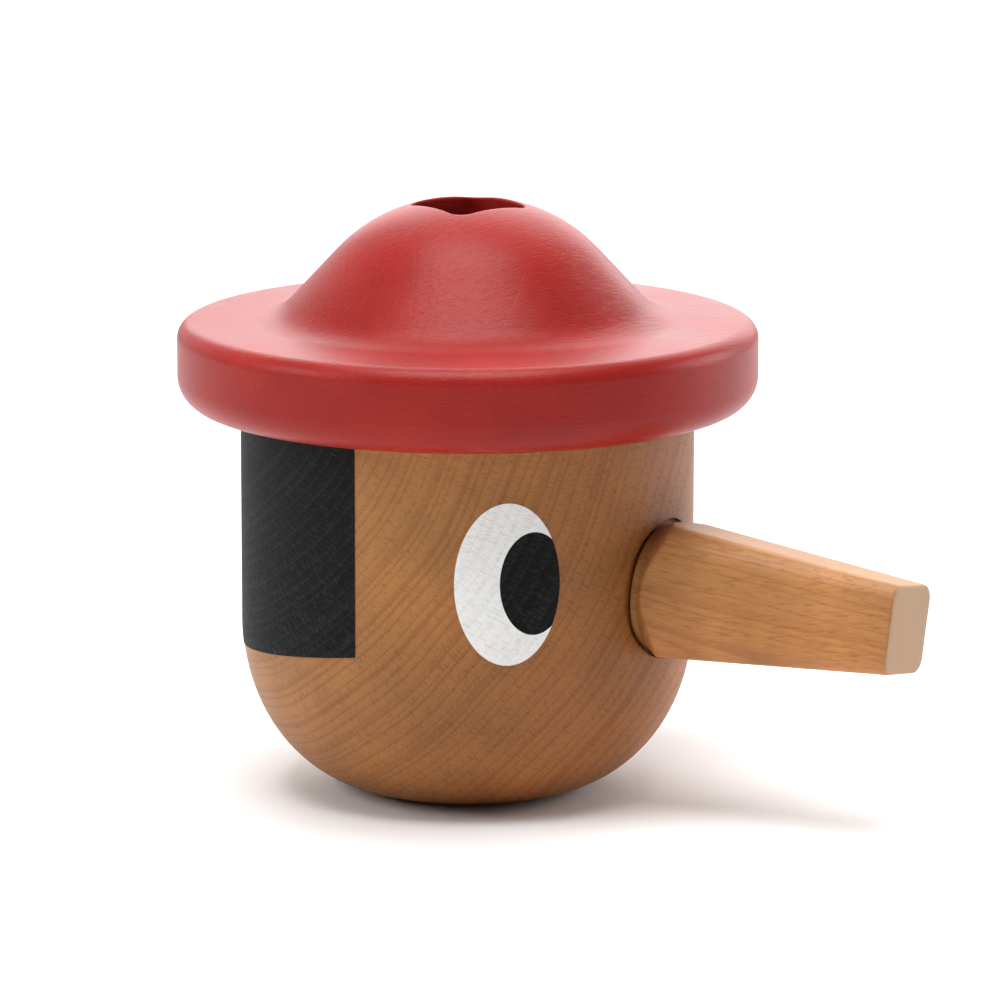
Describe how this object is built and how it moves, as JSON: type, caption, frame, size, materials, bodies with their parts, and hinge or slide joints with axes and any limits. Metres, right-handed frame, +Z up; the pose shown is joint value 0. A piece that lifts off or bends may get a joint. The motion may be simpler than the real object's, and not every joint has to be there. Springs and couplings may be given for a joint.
{
  "type": "wooden screw nutcracker shaped as a bird's head",
  "caption": "Turned beech pot shaped as a bird's head: a wide-brimmed hat lifts off as the lid and the square beak turns a wooden screw that cracks a nut inside.",
  "frame": {"origin": "centre of the flat under the pot, on the surface that it stands on", "axes": "+Z up along the pot's turning axis, +X the way the beak points, +Y to the bird's left"},
  "size_m": [0.1381, 0.1024, 0.1044],
  "materials": {
    "pot_beech": "steamed beech, stained honey brown, satin oil",
    "beak_beech": "steamed beech, pale pinkish brown, satin oil",
    "red_lacquer": "beech sprayed with satin red lacquer",
    "black_print": "matt black printing ink, grain shows through",
    "white_print": "matt white printing ink, grain shows through",
    "steel_pin": "bright zinc-plated steel"
  },
  "bodies": {
    "pot": {"pot": "pot_beech", "hair_patch": "black_print", "eye_white_left": "white_print", "eye_white_right": "white_print", "pupil_left": "black_print", "pupil_right": "black_print"},
    "hat": {"hat": "red_lacquer"},
    "pad": {"pressure_pad": "beak_beech"},
    "beak": {"beak": "beak_beech", "screw": "beak_beech", "pad_pin": "steel_pin"}
  },
  "joints": [
    {"name": "hat_lift", "type": "slide", "parent": "pot", "child": "hat", "axis": [0, 0, 1], "range_m": [0, 0.06]},
    {"name": "beak_travel", "type": "slide", "parent": "pot", "child": "pad", "axis": [0.9987, 0, -0.0506], "range_m": [0, 0.035]},
    {"name": "beak_turn", "type": "hinge", "parent": "pad", "child": "beak", "pos_m": [0.0384, 0, 0.0395], "axis": [0.9987, 0, -0.0506], "range_deg": [0, 2520.5]}
  ],
  "couplings": [
    {"joint": "beak_turn", "follows": "beak_travel", "rad_per_m": 1256.6}
  ]
}
